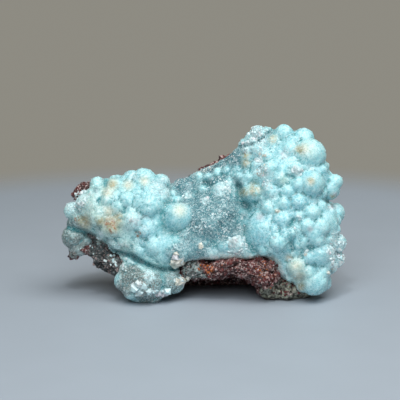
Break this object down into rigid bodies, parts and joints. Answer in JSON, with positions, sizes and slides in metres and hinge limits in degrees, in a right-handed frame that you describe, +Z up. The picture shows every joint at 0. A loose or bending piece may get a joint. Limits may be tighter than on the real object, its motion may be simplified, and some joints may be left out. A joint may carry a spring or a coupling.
{
  "type": "hemimorphite mineral specimen",
  "caption": "Blue-green botryoidal hemimorphite crust, saddle-shaped with a tall right-hand mass, grown over a block of rust-red iron-stained matrix.",
  "frame": {"origin": "on the resting surface, below the middle of the specimen's outline", "axes": "+Z up, +X along the specimen's length towards the tall mass, -Y towards the viewer of the front"},
  "size_m": [0.0952, 0.0418, 0.0569],
  "materials": {
    "hemimorphite": "translucent sugary botryoids with a sparkling druse",
    "iron_matrix": "dull broken rock, stained red-brown"
  },
  "bodies": {
    "root": {"hemimorphite_crust": "hemimorphite", "matrix": "iron_matrix"}
  },
  "joints": []
}
